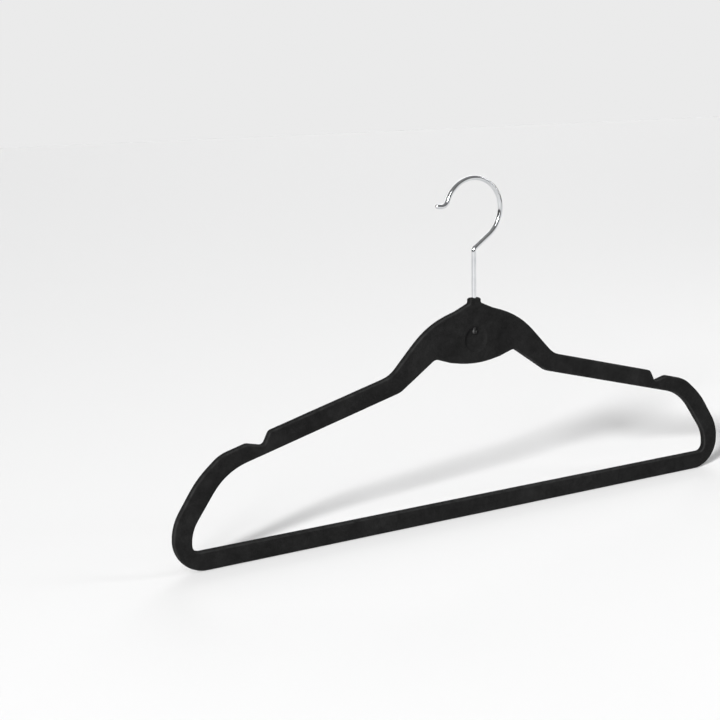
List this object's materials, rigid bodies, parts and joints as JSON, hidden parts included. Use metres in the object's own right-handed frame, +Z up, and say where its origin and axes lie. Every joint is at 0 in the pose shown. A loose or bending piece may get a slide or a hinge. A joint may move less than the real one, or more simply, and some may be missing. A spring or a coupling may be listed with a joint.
{
  "type": "clothes hanger",
  "caption": "Slim velvet-flocked clothes hanger with sloped shoulders, strap notches, a trouser bar and a swivelling chromed wire hook.",
  "frame": {"origin": "under the middle of the trouser bar, half way through the hanger's thickness", "axes": "+X along the hanger, +Y towards its back, +Z up along the hook's shank"},
  "size_m": [0.45, 0.0052, 0.2386],
  "materials": {
    "moulded_plastic": "black ABS, bare only inside the hook's pocket",
    "flock": "short black nylon flock, velvet pile",
    "chromed_wire": "bright chrome plate",
    "washer_steel": "zinc plated"
  },
  "bodies": {
    "hook": {"swivel_hook": "chromed_wire", "thrust_washer": "washer_steel"},
    "hanger": {"moulded_frame": "moulded_plastic", "flock_coat": "flock"}
  },
  "joints": [
    {"name": "hook_swivel", "type": "hinge", "parent": "hook", "child": "hanger", "pos_m": [0, 0, 0.145], "axis": [0, 0, 1], "continuous": true}
  ]
}
